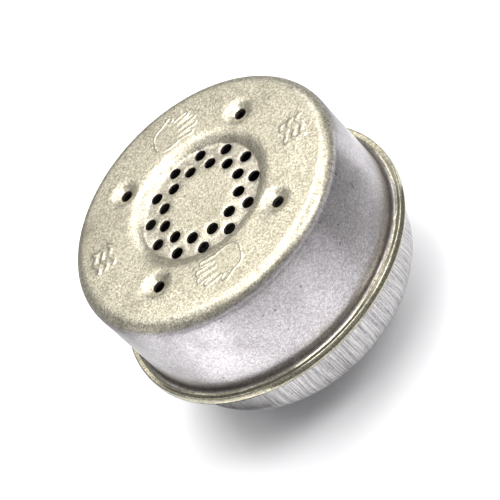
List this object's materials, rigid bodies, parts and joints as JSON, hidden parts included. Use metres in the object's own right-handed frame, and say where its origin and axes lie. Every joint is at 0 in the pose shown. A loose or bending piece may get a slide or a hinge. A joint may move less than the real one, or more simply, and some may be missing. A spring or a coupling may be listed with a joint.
{
  "type": "round exhaust silencer",
  "caption": "Round stamped-steel silencer can with a perforated recessed outlet face, screw dimples, a folded seam and a threaded inlet nipple.",
  "frame": {"origin": "centre of the inlet nipple's end plane, the lowest point of the part", "axes": "+Z runs along the common axis from the inlet to the perforated outlet face; +X and +Y each pass over a screw dimple"},
  "size_m": [0.0888, 0.0889, 0.0635],
  "materials": {
    "front_sheet": "aluminised sheet steel, drawn, warm grey with a fine matte grain",
    "rear_sheet": "aluminised sheet steel, drawn, cooler grey with fine draw marks along the wall",
    "baffle_sheet": "plain sheet steel, dull",
    "nipple_steel": "machined steel, satin, threaded",
    "weld_metal": "weld bead, rippled, dull",
    "doubler_sheet": "sheet steel, dull",
    "cup_sheet": "sheet steel, dull",
    "tack_metal": "weld metal, dull"
  },
  "bodies": {
    "root": {"front_shell": "front_sheet", "rear_shell": "rear_sheet", "baffle_plate": "baffle_sheet", "inlet_nipple": "nipple_steel", "nipple_weld": "weld_metal", "inlet_doubler": "doubler_sheet", "diffuser_cup": "cup_sheet", "tack_weld_1": "tack_metal", "tack_weld_2": "tack_metal", "tack_weld_3": "tack_metal", "tack_weld_4": "tack_metal"}
  },
  "joints": []
}
